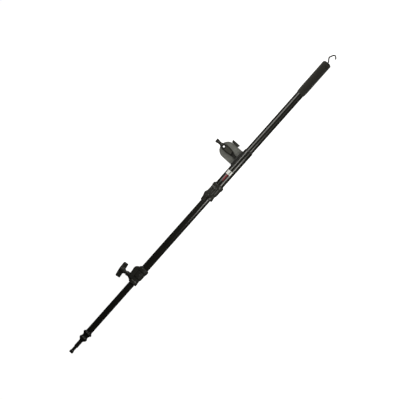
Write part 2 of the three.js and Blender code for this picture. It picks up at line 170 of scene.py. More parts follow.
def mesh_from(bm):
    bmesh.ops.recalc_face_normals(bm, faces=bm.faces)
    mesh = bpy.data.meshes.new("made")
    bm.to_mesh(mesh)
    bm.free()
    return mesh


def lathe(profile, sides=96, wobble=None):
    """A profile of (x, radius) turned about X. It ends on the axis, or closes on itself."""
    bm = bmesh.new()
    rings = []
    for x, r in profile:
        if r < 1e-6:
            rings.append([bm.verts.new((x, 0, 0))])
            continue
        ring = []
        for k in range(sides):
            a = 2 * math.pi * k / sides
            far = r + (wobble(x, r, a) if wobble else 0.0)
            ring.append(bm.verts.new((x, far * math.cos(a), far * math.sin(a))))
        rings.append(ring)
    ahead = rings[1:] + (rings[:1] if profile[0][1] > 1e-6 else [])
    for a, b in zip(rings, ahead):
        skin(bm, a, b)
    return mesh_from(bm)


def rod(start, end, radius, edge=0.4, sides=48):
    return lathe(rounded([(start, 0), (start, radius, edge), (end, radius, edge), (end, 0)]), sides)


def ring(start, end, outer, inner, edge=0.3, sides=128):
    corners = [(start, inner, edge), (start, outer, edge), (end, outer, edge), (end, inner, edge)]
    return lathe(rounded(corners, closed=True, steps=3), sides)


def loft(rings, closed=False):
    """Skins rings of points, and caps the two ends with flat faces."""
    bm = bmesh.new()
    made = [[bm.verts.new(p) for p in r] for r in rings]
    for a, b in zip(made, made[1:] + (made[:1] if closed else [])):
        skin(bm, a, b)
    if not closed:
        bm.faces.new(made[0])
        bm.faces.new(made[-1])
    return mesh_from(bm)


def inset(outline, distance):
    """A closed outline that runs anticlockwise, moved inwards."""
    points = [Vector(p) for p in outline]
    out = []
    for i, p in enumerate(points):
        a, b = (p - points[i - 1]).normalized(), (points[(i + 1) % len(points)] - p).normalized()
        na, nb = Vector((-a.y, a.x)), Vector((-b.y, b.x))
        out.append(p + (na + nb) * (distance / max(1 + na.dot(nb), 0.4)))
    return [(p.x, p.y) for p in out]


def prism(outline, low, high, edge=0.5, steps=4):
    """An outline in XY drawn out along Z, with rounded edges."""
    rings = []
    for end, side in ((low, 1), (high, -1)):
        arc = [math.pi / 2 * k / steps for k in range(steps + 1)]
        for a in arc if side == 1 else reversed(arc):
            flat = inset(outline, edge * (1 - math.sin(a)))
            z = end + side * edge * (1 - math.cos(a))
            rings.append([(x, y, z) for x, y in flat])
    return loft(rings)


def moved(mesh, *matrices):
    for m in reversed(matrices):
        mesh.transform(m)
    return mesh


def merged(meshes):
    bm = bmesh.new()
    for m in meshes:
        bm.from_mesh(m)
        bpy.data.meshes.remove(m)
    return mesh_from(bm)


def as_object(mesh, name="tool"):
    obj = bpy.data.objects.new(name, mesh)
    bpy.context.scene.collection.objects.link(obj)
    return obj


def applied(obj, *helpers):
    """The object's mesh with its modifiers applied; the object and the helpers are removed."""
    graph = bpy.context.evaluated_depsgraph_get()
    mesh = bpy.data.meshes.new_from_object(obj.evaluated_get(graph), depsgraph=graph)
    for o in (obj, *helpers):
        old = o.data
        bpy.data.objects.remove(o)
        bpy.data.meshes.remove(old)
    return mesh


def combined(mesh, tools, operation):
    """The mesh cut by, joined to or kept inside the tools."""
    obj = as_object(mesh)
    helpers = [as_object(t) for t in tools]
    for helper in helpers:
        step = obj.modifiers.new("step", "BOOLEAN")
        step.operation = operation
        step.solver = "MANIFOLD"
        step.object = helper
    return applied(obj, *helpers)


def cut(mesh, *tools):
    return combined(mesh, tools, "DIFFERENCE")


def common(mesh, *tools):
    return combined(mesh, tools, "INTERSECT")


def flattened(mesh):
    """Joins the triangles of each flat area into whole faces."""
    bm = bmesh.new()
    bm.from_mesh(mesh)
    bmesh.ops.dissolve_limit(bm, angle_limit=math.radians(0.3), verts=bm.verts, edges=bm.edges)
    bm.to_mesh(mesh)
    bm.free()
    return mesh


def cast(parts, voxel=0.6, passes=4):
    """Parts melted into one casting with soft edges and small fillets."""
    obj = as_object(merged(parts))
    remesh = obj.modifiers.new("remesh", "REMESH")
    remesh.mode = "VOXEL"
    remesh.voxel_size = voxel
    soften = obj.modifiers.new("soften", "SMOOTH")
    soften.factor = 0.5
    soften.iterations = passes
    return applied(obj)


def shade(mesh, sharp=32):
    """Smooth faces, with edges kept sharp where the surface turns by more than an angle."""
    bm = bmesh.new()
    bm.from_mesh(mesh)
    bmesh.ops.dissolve_degenerate(bm, dist=1e-4, edges=bm.edges)
    for f in bm.faces:
        f.smooth = True
    for e in bm.edges:
        e.smooth = e.calc_face_angle(math.pi) < math.radians(sharp)
    bm.to_mesh(mesh)
    bm.free()


def piece(name, mesh, body, materials, nodes=(), sharp=32):
    """Puts a mesh made in the pole frame into the frame as a piece that stands for CAD nodes."""
    shade(mesh, sharp)
    mesh.transform(POLE)
    mesh.name = name
    if mesh.materials:
        mesh.materials.clear()
    for m in materials if isinstance(materials, (list, tuple)) else [materials]:
        mesh.materials.append(m)
    obj = as_object(mesh, name)
    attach(obj, body)
    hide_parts(*nodes)
    return obj


# ---- material helpers ------------------------------------------------------------------------
class Finish:
    """A procedural material on object coordinates in millimetres."""

    def __init__(self, name, base, roughness, metallic=0.0, specular=0.5, coat=0.0):
        self.material = bpy.data.materials.new(name)
        self.material.use_nodes = True
        tree = self.material.node_tree
        self.nodes, self.links = tree.nodes, tree.links
        self.shader = next(n for n in self.nodes if n.type == "BSDF_PRINCIPLED")
        self.shader.inputs["Base Color"].default_value = (*base, 1)
        self.shader.inputs["Roughness"].default_value = roughness
        self.shader.inputs["Metallic"].default_value = metallic
        self.shader.inputs["Specular IOR Level"].default_value = specular
        self.shader.inputs["Coat Weight"].default_value = coat
        self.place = self.nodes.new("ShaderNodeTexCoord").outputs["Object"]
        self.height = None

    def node(self, kind, **settings):
        made = self.nodes.new(kind)
        for key, value in settings.items():
            setattr(made, key, value)
        return made

    def spread(self, stretch=(1, 1, 1)):
        """Object coordinates in millimetres, with a stretch along each axis."""
        mapping = self.node("ShaderNodeMapping")
        mapping.inputs["Scale"].default_value = [1 / (MM * s) for s in stretch]
        self.links.new(self.place, mapping.inputs["Vector"])
        return mapping.outputs["Vector"]

    def noise(self, size, detail=3.0, stretch=(1, 1, 1), rough=0.5):
        made = self.node("ShaderNodeTexNoise")
        made.inputs["Scale"].default_value = 1 / size
        made.inputs["Detail"].default_value = detail
        made.inputs["Roughness"].default_value = rough
        self.links.new(self.spread(stretch), made.inputs["Vector"])
        return made.outputs["Fac"]

    def cells(self, size, feature="F1", stretch=(1, 1, 1)):
        made = self.node("ShaderNodeTexVoronoi", feature=feature)
        made.inputs["Scale"].default_value = 1 / size
        self.links.new(self.spread(stretch), made.inputs["Vector"])
        return made.outputs["Distance"]

    def ramp(self, value, low, high, dark, light):
        """Value mapped from low..high to a colour or number between dark and light."""
        made = self.node("ShaderNodeValToRGB")
        first, last = made.color_ramp.elements
        first.position, last.position = low, high
        grey = lambda c: (c, c, c, 1) if isinstance(c, (int, float)) else (*c, 1)
        first.color, last.color = grey(dark), grey(light)
        self.links.new(value, made.inputs["Fac"])
        return made.outputs["Color"]

    def over(self, below, above, share):
        """Colour above laid over colour below by a share."""
        made = self.node("ShaderNodeMix", data_type="RGBA")
        self.links.new(share, made.inputs["Factor"])
        self.links.new(below, made.inputs["A"])
        if isinstance(above, tuple):
            made.inputs["B"].default_value = (*above, 1)
        else:
            self.links.new(above, made.inputs["B"])
        return made.outputs["Result"]

    def colour(self, value):
        self.links.new(value, self.shader.inputs["Base Color"])

    def rough(self, value):
        self.links.new(value, self.shader.inputs["Roughness"])

    def bump(self, value, depth, strength=1.0):
        """Adds relief of a depth in millimetres on top of what is there."""
        made = self.node("ShaderNodeBump")
        made.inputs["Strength"].default_value = strength
        made.inputs["Distance"].default_value = depth * MM
        self.links.new(value, made.inputs["Height"])
        if self.height:
            self.links.new(self.height, made.inputs["Normal"])
        self.height = made.outputs["Normal"]
        self.links.new(self.height, self.shader.inputs["Normal"])

    def edges(self):
        """1 on worn outer edges, 0 elsewhere."""
        geometry = self.node("ShaderNodeNewGeometry")
        return geometry.outputs["Pointiness"]


# ---- materials -------------------------------------------------------------------------------
def black_anodised():
    """Satin anodised tube with drawing lines along its length and faint rub marks."""
    f = Finish("black_anodised", (0.01, 0.0098, 0.0078), 0.26, specular=0.5)
    lines = f.noise(0.35, 4, (60, 1, 1))
    clouds = f.noise(40, 3)
    base = f.ramp(clouds, 0.3, 0.7, (0.008, 0.0078, 0.006), (0.0125, 0.0122, 0.0098))
    rubs = f.ramp(f.noise(2.2, 5, (26, 1, 1), 0.6), 0.66, 0.78, 0.0, 0.5)
    f.colour(f.over(base, (0.024, 0.0236, 0.021), rubs))
    f.rough(f.ramp(lines, 0.25, 0.75, 0.17, 0.27))
    f.bump(lines, 0.006)
    f.bump(f.noise(9, 2), 0.02)
    return f.material


def black_powder(name, level):
    """Powder coat on a casting: fine orange peel, a little lighter on worn edges. The level scales the
    colours: below 1 gives a darker copy that is painted shade, above 1 a lighter copy that is painted light.
    """
    dark = [c * level for c in (0.014, 0.0136, 0.0108)]
    light = [c * level for c in (0.021, 0.0205, 0.017)]
    f = Finish(name, light, 0.42)
    grain = f.noise(0.55, 4)
    base = f.ramp(f.noise(14, 4), 0.3, 0.7, dark, light)
    worn = f.ramp(f.edges(), 0.53, 0.6, 0.0, 0.55)
    f.colour(f.over(base, (0.055, 0.0535, 0.0485), worn))
    f.rough(f.ramp(grain, 0.3, 0.7, 0.34, 0.52))
    f.bump(grain, 0.05)
    f.bump(f.cells(1.6, "SMOOTH_F1"), 0.05)
    return f.material


def grey_hammer():
    """Grey hammered paint on the plate: shallow dimples, speckle and rubbed patches."""
    f = Finish("grey_hammer", (0.125, 0.127, 0.116), 0.5)
    dimples = f.cells(2.1, "SMOOTH_F1")
    speckle = f.noise(0.5, 3)
    base = f.ramp(f.noise(9, 4), 0.3, 0.7, (0.105, 0.107, 0.099), (0.134, 0.136, 0.126))
    dark = f.ramp(speckle, 0.55, 0.75, 0.0, 0.35)
    dusted = f.over(base, (0.08, 0.082, 0.074), dark)
    worn = f.ramp(f.noise(5, 5), 0.6, 0.8, 0.0, 0.35)
    f.colour(f.over(dusted, (0.2, 0.203, 0.19), worn))
    f.rough(f.ramp(speckle, 0.3, 0.7, 0.42, 0.6))
    f.bump(dimples, 0.1)
    f.bump(speckle, 0.03)
    return f.material


def black_plastic():
    """Moulded nylon handle with a fine spark-eroded texture."""
    f = Finish("black_plastic", (0.024, 0.0235, 0.019), 0.42)
    grain = f.noise(0.32, 3)
    base = f.ramp(f.noise(8, 3), 0.3, 0.7, (0.014, 0.0137, 0.0109), (0.0205, 0.02, 0.0166))
    worn = f.ramp(f.edges(), 0.54, 0.62, 0.0, 0.4)
    f.colour(f.over(base, (0.06, 0.058, 0.053), worn))
    f.rough(f.ramp(grain, 0.3, 0.7, 0.34, 0.52))
    f.bump(grain, 0.035)
    return f.material


def plain_nylon():
    """Turned nylon bush: dull black with faint tool rings."""
    f = Finish("plain_nylon", (0.02, 0.02, 0.02), 0.5)
    f.colour(f.ramp(f.noise(3, 3), 0.3, 0.7, (0.016, 0.016, 0.016), (0.028, 0.028, 0.028)))
    rings = f.noise(0.4, 2, (1, 40, 40))
    f.rough(f.ramp(rings, 0.3, 0.7, 0.42, 0.6))
    f.bump(rings, 0.01)
    return f.material


def foam():
    """Closed-cell foam: matte, with open pores where the skin was ground; the pores are painted darker, which
    is painted shade in the pits.
    """
    f = Finish("foam", (0.02, 0.0195, 0.018), 0.95, specular=0.2)
    f.shader.inputs["Sheen Weight"].default_value = 0.12
    f.shader.inputs["Sheen Roughness"].default_value = 0.6
    pores = f.cells(0.75)
    clouds = f.noise(7, 4)
    base = f.ramp(clouds, 0.3, 0.7, (0.0135, 0.0128, 0.01), (0.0215, 0.0205, 0.0165))
    # The pores' darker colour is painted shade in the pits.
    pore_shade = f.ramp(pores, 0.1, 0.34, 0.75, 0.0)
    f.colour(f.over(base, (0.007, 0.007, 0.0065), pore_shade))
    f.rough(f.ramp(clouds, 0.3, 0.7, 0.88, 0.98))
    f.bump(pores, 0.3)
    f.bump(f.noise(2.4, 3), 0.22)
    return f.material


def zinc():
    """Zinc-plated steel with fine turning lines and cloudy passivation."""
    f = Finish("zinc", (0.5, 0.5, 0.49), 0.34, metallic=1.0)
    clouds = f.noise(2.5, 4)
    f.colour(f.ramp(clouds, 0.3, 0.7, (0.4, 0.4, 0.385), (0.6, 0.6, 0.585)))
    f.rough(f.ramp(f.noise(0.3, 3), 0.3, 0.7, 0.26, 0.44))
    f.bump(f.noise(0.25, 3), 0.008)
    return f.material


def black_steel():
    """Turned steel, blackened: fine rings round it and a dull sheen."""
    f = Finish("black_steel", (0.02, 0.0192, 0.0155), 0.36)
    rings = f.noise(0.3, 3, (1, 60, 60))
    worn = f.ramp(f.edges(), 0.53, 0.6, 0.0, 0.5)
    base = f.ramp(f.noise(4, 4), 0.3, 0.7, (0.011, 0.0105, 0.0084), (0.017, 0.0163, 0.0133))
    f.colour(f.over(base, (0.07, 0.069, 0.064), worn))
    f.rough(f.ramp(rings, 0.3, 0.7, 0.28, 0.46))
    f.bump(rings, 0.012)
    return f.material


def hook_wire():
    """Bent wire, dark plated, with drawing scratches."""
    f = Finish("hook_wire", (0.1, 0.1, 0.1), 0.38, metallic=0.8)
    f.colour(f.ramp(f.noise(3, 4), 0.3, 0.7, (0.04, 0.04, 0.039), (0.09, 0.09, 0.088)))
    f.rough(f.ramp(f.noise(0.4, 3), 0.3, 0.7, 0.3, 0.5))
    f.bump(f.noise(0.4, 3), 0.015)
    return f.material


def brass():
    f = Finish("brass", (0.6, 0.42, 0.16), 0.35, metallic=1.0)
    f.colour(f.ramp(f.noise(2, 4), 0.3, 0.7, (0.5, 0.34, 0.12), (0.66, 0.48, 0.2)))
    f.rough(f.ramp(f.noise(0.3, 3), 0.3, 0.7, 0.28, 0.46))
    f.bump(f.noise(0.3, 2), 0.008)
    return f.material


def film(name, dark, light, roughness):
    """Printed label film: faint ink mottle and a slightly rippled surface."""
    f = Finish(name, light, roughness)
    f.colour(f.ramp(f.noise(1.2, 4), 0.3, 0.7, dark, light))
    f.rough(f.ramp(f.noise(3, 3), 0.3, 0.7, roughness - 0.05, roughness + 0.08))
    f.bump(f.noise(2.5, 2), 0.02)
    return f.material


FINISHES = {
    "black_tube": black_anodised(),
    "black_casting": black_powder("black_powder", 1.0),
    "grey_casting": grey_hammer(),
    "black_plastic": black_plastic(),
    "black_steel": black_steel(),
    "nylon": plain_nylon(),
    "foam": foam(),
    "zinc_steel": zinc(),
    "hook_wire": hook_wire(),
    "brass": brass(),
    "dark_label": film("dark_film", (0.009, 0.0088, 0.0075), (0.014, 0.0137, 0.0118), 0.25),
    "white_label": film("white_film", (0.6, 0.6, 0.58), (0.68, 0.68, 0.66), 0.35),
}
# A darker copy of the powder coat: painted shade, used where little light falls, under other parts and in
# recesses.
SHADED_CASTING = black_powder("shaded_black_powder", 0.35)
# A lighter copy of the powder coat: rubbed wear, and painted light where the arm's flat front face catches
# the lamps.
LIT_RUBBED_CASTING = black_powder("lit_rubbed_powder", 1.75)
RED_FILM = film("red_film", (0.15, 0.014, 0.018), (0.19, 0.02, 0.025), 0.3)
# A grey band on the white label: painted shade where the label faces the camera between the lamps'
# reflections.
SHADE_BAND_FILM = film("shade_band_film", (0.16, 0.16, 0.15), (0.22, 0.22, 0.21), 0.35)


def finished(name, mesh, body, slot, *nodes, sharp=32):
    return piece(name, mesh, body, FINISHES[slot], nodes, sharp)


# ---- lock collars ----------------------------------------------------------------------------
def collar_place(collar):
    return shift(collar["start"]) @ turn(collar["roll"], "X")


def collar_barrel(collar):
    """Front flange, neck, barrel and rear flange, turned about the tube."""
    length, slide, fixed = collar["length"], collar["slide"], collar["fixed"]
    at = lambda share: share * length
    outline = [
        (0, fixed + 0.6, 0.8), (at(0.02), fixed + 3.0, 1.2), (at(0.14), fixed + 3.0, 1.4),
        (at(0.2), fixed + 1.5, 1.6), (at(0.36), fixed + 1.5, 1.6), (at(0.4), fixed + 3.8, 1.2),
        (at(0.75), fixed + 3.8, 1.6), (at(0.8), fixed + 5.8, 1.4), (at(0.95), fixed + 5.8, 1.8),
        (length, fixed + 1.9, 1.0),
    ]
    return lathe(rounded([(0, slide), *outline, (length, slide)], closed=True), 128)


def dome_outline(collar):
    length, slide = collar["length"], collar["slide"]
    top = slide + 18.8
    line = [(KNOB_FOOT - 14, 0), (0.92 * length, 0), (0.92 * length, slide + 7.5)]
    a = Vector((0.92 * length, slide + 7.5))
    b = Vector((0.83 * length, top + 3.6))
    c = Vector((0.67 * length, top + 3))
    for k in range(1, 13):
        t = k / 12
        line.append(tuple(a * (1 - t) ** 2 + b * (2 * t * (1 - t)) + c * t * t))
    line += [(0.55 * length, top + 1.2), (0.36 * length, top), (KNOB_FOOT - 12, top - 4)]
    return line


def collar_casting(collar):
    length, slide, fixed = collar["length"], collar["slide"], collar["fixed"]
    boss = moved(rod(0, slide + BOSS_HEIGHT, 9.3, 0.8, 64), ALONG_SCREW)
    bead = moved(rod(slide + 12, slide + 17.5, 10.8, 1.6, 64), ALONG_SCREW)
    web = prism([(1, 0), (22, 0), (22, slide + 16), (9.5, slide + 16), (1, fixed - 1.5)], -7, 7, 1.5)
    dome = prism(dome_outline(collar), -11.8, 11.8, 4.5, 6)
    rib = prism([(x, y + 0.9) for x, y in dome_outline(collar)], -1.6, 1.6, 0.6)
    body = cast([collar_barrel(collar), boss, bead, web, dome, rib], 0.55, 5)
    split = 0.42 * length
    place = collar_place(collar)
    made = cut(
        body,
        rod(-1, length + 1, slide + 2.4, 0, 128),
        rod(split, length + 1, fixed + GAP, 0, 128),
        moved(rod(0, slide + 10.5, 5 + GAP, 0), ALONG_SCREW),
        moved(rod(0, slide + BOSS_HEIGHT + 1, SCREW_R + GAP, 0), ALONG_SCREW),
        moved(rod(-fixed - 8, fixed + 8, 2.8, 0), shift(0.6 * length), ABOUT_Z),
    )
    name = collar["prefix"] + "_collar"
    return finished(name + "_casting", moved(made, place), collar["body"], "black_casting", name)


def collar_bush(collar):
    slide, length = collar["slide"], collar["length"]
    made = ring(0.7, 0.4 * length, slide + 2.1, slide + GAP, 0.5)
    made = cut(made, moved(rod(0, slide + 4, 5 + GAP, 0), ALONG_SCREW))
    name = collar["prefix"] + "_collar_bush"
    return finished(name + "_ring", moved(made, collar_place(collar)), collar["body"], "nylon", name)


def mirrored(points):
    """Points of a right half, followed by their mirror images from the last to the first."""
    return [*points, *[(-p[0], *p[1:]) for p in reversed(points)]]


def handle_side():
    """Side view of the T handle: distance along the wings, height above its foot."""
    half = HANDLE_HALF
    return rounded(mirrored([
        (8, 9.6, 3), (half - 2, 10.2, 1.5), (half + 0.2, 11.4, 1.4), (half + 0.7, 27.6, 2.2),
        (half - 3, 29.8, 3), (9, 31.4, 8),
    ]), closed=True)


def handle_plan():
    half = HANDLE_HALF
    front = [(half - 3, -4.5, 3), (half + 1, -3.7, 2)]
    back = [(half + 1, 3.7, 2), (half - 3, 4.5, 3), (14, 5.6, 5), (7, 8.2, 4)]
    return rounded(mirrored([(7, -8.2, 4), (14, -5.6, 5), *front, *back]), closed=True)


def t_handle(collar):
    """T handle with a turned hub, two tapering wings and a shallow finger hollow on each side."""
    slide = collar["slide"]
    side = prism(handle_side(), -12, 12, 0.2)
    plan = moved(prism(handle_plan(), -40, 40, 0.2), turn(90, "X"))
    hub = lathe(rounded([
        (0, 0), (0, 7.2, 0.6), (5.5, 7.2, 2), (10.5, 11.1, 2.5), (28.6, 10.6, 1.5), (30.4, 8.6, 1),
        (31.6, 8.0, 0.8), (31.6, 5.4, 0.4), (30.8, 5.0, 0.3), (30.8, 0),
    ]), 96)
    hollows = []
    for x in (-1, 1):
        for z in (-1, 1):
            pad = lathe(rounded([(-1, 0), (-1, 0.7, 0.3), (0, 1, 0.5), (1, 0.7, 0.3), (1, 0)]), 48)
            hollows.append(moved(pad, shift(x * 20.5, 20, z * 5.6), Matrix.Diagonal((8.8, 6.4, 1.1, 1))))
    body = cast([common(side, plan), moved(hub, ABOUT_Y)], 0.4, 3)
    body = cast([cut(body, *hollows)], 0.4, 7)
    body = moved(body, shift(KNOB_FOOT), turn(LEAN, "Z"), shift(0, slide + BOSS_HEIGHT + GAP))
    bore = moved(rod(0, slide + BOSS_HEIGHT + 14 + GAP, SCREW_R + GAP, 0), ALONG_SCREW)
    name = collar["prefix"] + "_t_handle"
    made = moved(cut(body, bore), collar_place(collar))
    return finished(name + "_grip", made, collar["knob"], "black_plastic", name)


def thread(start, end, radius, pitch, depth):
    """A rod about X with a helical thread and plain rounded ends."""
    sides, per_turn = 48, 8
    count = int((end - start - 1.2) / pitch * per_turn)
    profile = [(start, 0), (start, radius - depth)]
    profile += [(start + 0.6 + k * pitch / per_turn, radius - depth / 2) for k in range(count)]
    profile += [(end, radius - depth), (end, 0)]

    def groove(x, r, angle):
        if x <= start + 0.3 or x >= end - 0.3:
            return 0.0
        turn_share = (x / pitch - angle / (2 * math.pi)) % 1.0
        return depth * (0.5 - abs(2 * turn_share - 1))

    return lathe(profile, sides, groove)


def clamp_parts(collar):
    """Threaded clamp screw, brass pad and the two socket grub screws of a collar."""
    slide, fixed, length = collar["slide"], collar["fixed"], collar["length"]
    prefix, place = collar["prefix"], collar_place(collar)
    screw = thread(slide + 8.3, slide + BOSS_HEIGHT + 14, SCREW_R, 1.25, 0.65)
    stud = moved(screw, place, ALONG_SCREW)
    finished(prefix + "_clamp_stud", stud, collar["knob"], "zinc_steel", prefix + "_clamp_screw")
    pad = cut(moved(rod(slide - 2, slide + 8, 5, 0.4), ALONG_SCREW), rod(-10, 60, slide + GAP, 0, 128))
    finished(prefix + "_clamp_shoe", moved(pad, place), collar["pad"], "brass", prefix + "_clamp_pad")
    for side, roll in (("front", 0), ("back", 180)):
        screw = rod(fixed + GAP, fixed + 3, 2.5, 0.3)
        screw = cut(screw, lathe([(fixed + 1.4, 0), (fixed + 1.4, 1.3), (fixed + 4, 1.3), (fixed + 4, 0)], 6))
        screw = moved(screw, place, turn(roll, "X"), shift(0.6 * length), ABOUT_Z)
        node = f"{prefix}_grub_screw_{side}"
        finished(node + "_socket", screw, collar["body"], "zinc_steel", node)


def lock_collar(collar):
    collar_casting(collar)
    collar_bush(collar)
    t_handle(collar)
    clamp_parts(collar)


# ---- inner pole ------------------------------------------------------------------------------
def front_spigot():
    body = lathe(rounded([
        (2.2, 0), (0, 2.0, 0.2), (0, SPIGOT_R, 1.1), (9.8, SPIGOT_R, 0.7), (12.6, WAIST_R, 0.9),
        (28.4, WAIST_R, 0.9), (31.2, SPIGOT_R, 0.7), (61.7, SPIGOT_R, 0.3), (61.7, 6, 0.2),
        (100, 6, 0.5), (100, 0),
    ]), 96)
    body = cut(body, moved(rod(-9, 9, 2.3, 0), shift(PIN_X), ABOUT_Z))
    finished("front_spigot_stud", body, "inner_pole", "black_steel", "front_spigot")
    pin = moved(rod(-12.3, 12.3, 2, 0.3), shift(PIN_X), ABOUT_Z)
    finished("cross_pin", pin, "inner_pole", "zinc_steel", "spigot_cross_pin")


def front_adapter():
    """Turned adapter that flares from the spigot to the tube, and the rounded ring behind it."""
    insert = INNER_R - WALL - GAP
    flare = lathe(rounded([
        (62, 6.3, 0.2), (62, 8.6, 0.5), (64.6, 11.4, 2.5), (69.4, 15.4, 4), (73.2, 16.6, 3.5),
        (76.6, 15.6, 3), (80, 13.0, 3), (83.6, 12.5, 1), (87.7, 12.5, 0.3), (87.7, insert, 0.1),
        (128, insert, 0.4), (128, 6.3, 0.2),
    ], closed=True, steps=8), 128)
    flare = cut(flare, moved(rod(-14, 14, 2.3, 0), shift(PIN_X), ABOUT_Z))
    # The flare and the ring below take the darker copy of the powder coat: painted shade for the little light
    # at the front of the pole.
    piece("front_adapter_flare", flare, "inner_pole", SHADED_CASTING, ["front_adapter"])
    bore = INNER_R + GAP
    bulge = lathe(rounded([
        (88, bore, 0.1), (88.3, 13.4, 0.4), (91.8, 14.2, 2), (94.6, 17.8, 2.5), (98, 18.6, 4), (101, 17.2, 3),
        (103.8, 13.9, 2.5), (106.5, 13.2, 0.4), (106.5, bore, 0.1),
    ], closed=True, steps=8), 128)
    piece("front_ring_bulge", bulge, "inner_pole", SHADED_CASTING, ["front_ring"])


def inner_tube():
    start, end = start_of("inner_tube"), end_of("inner_tube")
    tube = cut(ring(start, end, INNER_R, INNER_R - WALL), moved(rod(-14, 14, 2.3, 0), shift(PIN_X), ABOUT_Z))
    finished("inner_tube_drawn", tube, "inner_pole", "black_tube", "inner_tube")
    low, high = end - 38, end + 3
    outer = MAIN_R - WALL - GAP
    bush = lathe(rounded([
        (low, INNER_R + GAP, 0.1), (low, outer, 0.5), (high, outer, 0.5), (high, 9.5, 0.3),
        (end + GAP, 9.5, 0.1), (end + GAP, INNER_R + GAP, 0.1),
    ], closed=True), 96)
    finished("stop_bush_ring", bush, "inner_pole", "nylon", "stop_bush")


# ---- main pole -------------------------------------------------------------------------------
def main_tube():
    tube = ring(start_of("main_tube"), end_of("main_tube"), MAIN_R, MAIN_R - WALL)
    finished("main_tube_drawn", tube, "main_pole", "black_tube", "main_tube")


def foam_grip():
    """Foam sleeve: tapered front lip, slightly crowned body with soft unevenness, rolled rear end."""
    start, end, bore = start_of("foam_grip"), end_of("foam_grip"), MAIN_R + GAP
    full = radius_of("foam_grip")
    profile = rounded([
        (start, bore, 0.3), (start + 0.5, bore + 1.0, 0.8), (start + 9, full - 0.6, 5), (start + 16, full, 8),
        (end - 1.5, full, 2.2), (end, full - 1.8, 1.6), (end, bore, 0.6),
    ], closed=True, steps=6)
    dense = []
    for a, b in zip(profile, profile[1:] + profile[:1]):
        count = max(1, int((Vector(b) - Vector(a)).length / 1.2))
        dense += [tuple(Vector(a).lerp(Vector(b), k / count)) for k in range(count)]

    def uneven(x, r, angle):
        if r < bore + 0.5:
            return 0.0
        spot = Vector((x / 14, 2.2 * math.cos(angle), 2.2 * math.sin(angle)))
        fine = Vector((x / 3.1, 6 * math.cos(angle), 6 * math.sin(angle)))
        return 0.22 * noise.noise(spot) + 0.07 * noise.noise(fine) - 0.06

    grip = finished("foam_grip_sleeve", lathe(dense, 144, uneven), "main_pole", "foam", "foam_grip")


def end_plug():
    tube_end = end_of("main_tube")
    insert, bore = MAIN_R - WALL - GAP, WIRE_R + 0.5
    plug = lathe(rounded([
        (tube_end - 22, bore, 0.2), (tube_end - 22, insert, 0.5), (tube_end + GAP, insert, 0.1),
        (tube_end + GAP, MAIN_R - 0.4, 0.2), (tube_end + 3, MAIN_R - 0.4, 1.6),
        (tube_end + 5.5, MAIN_R - 4.2, 1.2), (tube_end + 5.5, 6.8, 0.5), (tube_end + 4.6, 6.4, 0.4),
        (tube_end + 4.6, bore, 0.2),
    ], closed=True), 96)
    finished("end_plug_cap", plug, "main_pole", "black_plastic", "end_plug")
    start, end = start_of("hook_washer"), end_of("hook_washer")
    finished("hook_washer_ring", ring(start, end, 7, bore, 0.2, 64), "main_pole", "zinc_steel", "hook_washer")


# ---- hook ------------------------------------------------------------------------------------
def smooth_path(points, per_span=12):
    """A smooth line through points."""
    points = [points[0] * 2 - points[1], *points, points[-1] * 2 - points[-2]]
    out = []
    for a, b, c, d in zip(points, points[1:], points[2:], points[3:]):
        for k in range(per_span):
            t = k / per_span
            square = (2 * a - 5 * b + 4 * c - d) * t * t
            cube = (3 * b - a - 3 * c + d) * t ** 3
            out.append(0.5 * (2 * b + (c - a) * t + square + cube))
    return [*out, points[-2]]


def wire(path, radius, sides=24):
    """A wire along a path in the XY plane, with domed ends."""
    rings = []
    last = len(path) - 1
    for i, p in enumerate(path):
        ahead = (path[min(i + 1, last)] - path[max(i - 1, 0)]).normalized()
        across = Vector((-ahead.y, ahead.x, 0))
        ends = [(0.0, 1.0)]
        if i in (0, last):
            sign = -1 if i == 0 else 1
            ends = [(sign * radius * math.sin(a), math.cos(a)) for a in (k * math.pi / 12 for k in range(6))]
            ends = ends[::-1] if i == 0 else ends
        for out, share in ends:
            centre = p + ahead * out
            spin = [2 * math.pi * k / sides for k in range(sides)]
            rings.append([
                centre + across * (radius * share * math.cos(a))
                + Vector((0, 0, radius * share * math.sin(a)))
                for a in spin
            ])
    return loft(rings)


def hook():
    """Bent wire hook; its shank goes through the end plug to a nut."""
    plug_end = end_of("main_tube") + 5.6
    bends = [
        (-34, 0), (-12, 0), (0, 0), (4, 0.6), (8.5, 3.6), (13, 7.1), (17, 9.5), (20.6, 9.9),
        (25, 8.4), (31, 5.7), (36, 2.6), (38.6, -1.6), (37.4, -5.9), (34, -9.9), (30.6, -12.2),
    ]
    path = smooth_path([Vector((plug_end + x, y, 0)) for x, y in bends])
    finished("counterweight_hook_wire", wire(path, WIRE_R), "hook", "hook_wire", "counterweight_hook")
    start, end = start_of("hook_nut"), end_of("hook_nut")
    finished("hook_hex_nut", hex_nut(start, end, 5.6, WIRE_R + 0.5), "hook", "zinc_steel", "hook_nut")


def hex_nut(start, end, radius, bore):
    """Hexagon nut about X with turned chamfers; the radius is across its corners."""
    prism_part = lathe([(start, 0), (start, radius), (end, radius), (end, 0)], 6)
    flat = radius * 0.9
    crown = lathe(rounded([
        (start, 0), (start, flat), (start + 0.9, radius + 0.3),
        (end - 0.9, radius + 0.3), (end, flat), (end, 0),
    ]), 96)
    return cut(common(prism_part, crown), rod(start - 1, end + 1, bore, 0))


# ---- sleeve and its labels -------------------------------------------------------------------
def fixing_hole(x, outer=3 + GAP, head=6.6):
    low = SLEEVE_R - WALL
    hole = lathe([(low - 1, 0), (low - 1, head), (SLEEVE_R + 1.6, outer), (36, outer), (36, 0)], 48)
    return moved(hole, shift(PIVOT_X + x), ABOUT_Y)


